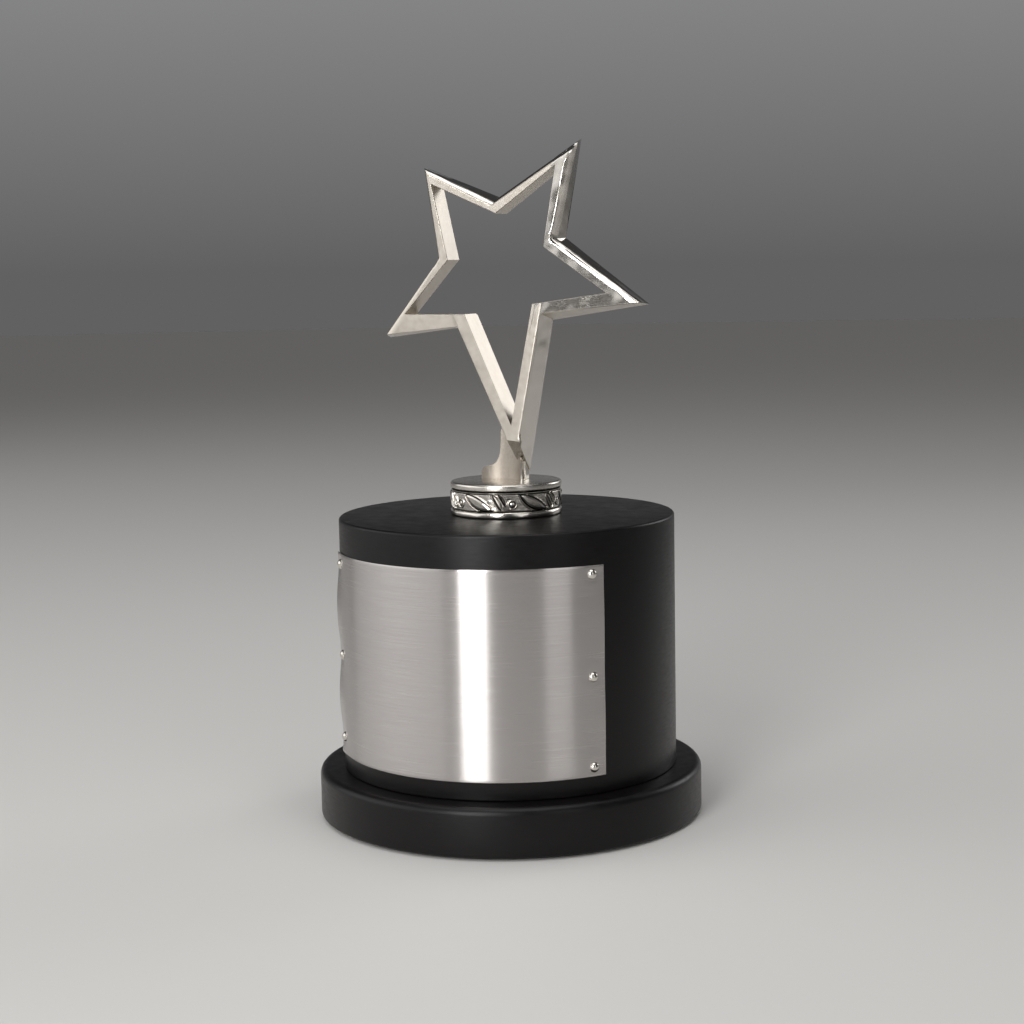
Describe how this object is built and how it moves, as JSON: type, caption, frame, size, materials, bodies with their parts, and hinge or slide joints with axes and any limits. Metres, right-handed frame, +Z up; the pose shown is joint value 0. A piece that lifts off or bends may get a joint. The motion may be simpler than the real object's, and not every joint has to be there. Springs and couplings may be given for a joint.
{
  "type": "star trophy",
  "caption": "Open cast star standing on a round leaf collar, bolted to a black lacquered wooden drum and wider foot disc, with a blank curved metal name plate nailed to the drum.",
  "frame": {"origin": "centre of the face it rests on, under the drum's axis", "axes": "+Z up, -Y towards the front, where the name plate is centred, +X to the right seen from the front"},
  "size_m": [0.138, 0.138, 0.2394],
  "materials": {
    "plated_casting": "satin front, polished walls, nickel plated zinc casting",
    "polished_cap": "mirror polished nickel plate",
    "antiqued_frieze": "polished nickel relief, blackened in the grooves",
    "black_lacquer": "turned wood under black satin lacquer",
    "brushed_plate": "stainless sheet, brushed along its length",
    "nail_chrome": "bright nickel dome heads",
    "zinc_steel": "zinc plated steel",
    "felt": "black wool felt"
  },
  "bodies": {
    "root": {"collar_cap": "polished_cap", "drum": "black_lacquer", "felt_pad": "felt", "foot_disc": "black_lacquer", "foot_screw_1": "zinc_steel", "foot_screw_2": "zinc_steel", "foot_screw_3": "zinc_steel", "leaf_collar": "antiqued_frieze", "name_plate": "brushed_plate", "plate_nail_bottom_left": "nail_chrome", "plate_nail_bottom_right": "nail_chrome", "plate_nail_middle_left": "nail_chrome", "plate_nail_middle_right": "nail_chrome", "plate_nail_top_left": "nail_chrome", "plate_nail_top_right": "nail_chrome", "rod_nut": "zinc_steel", "rod_washer": "zinc_steel", "star_figure": "plated_casting", "tie_rod": "zinc_steel"}
  },
  "joints": []
}
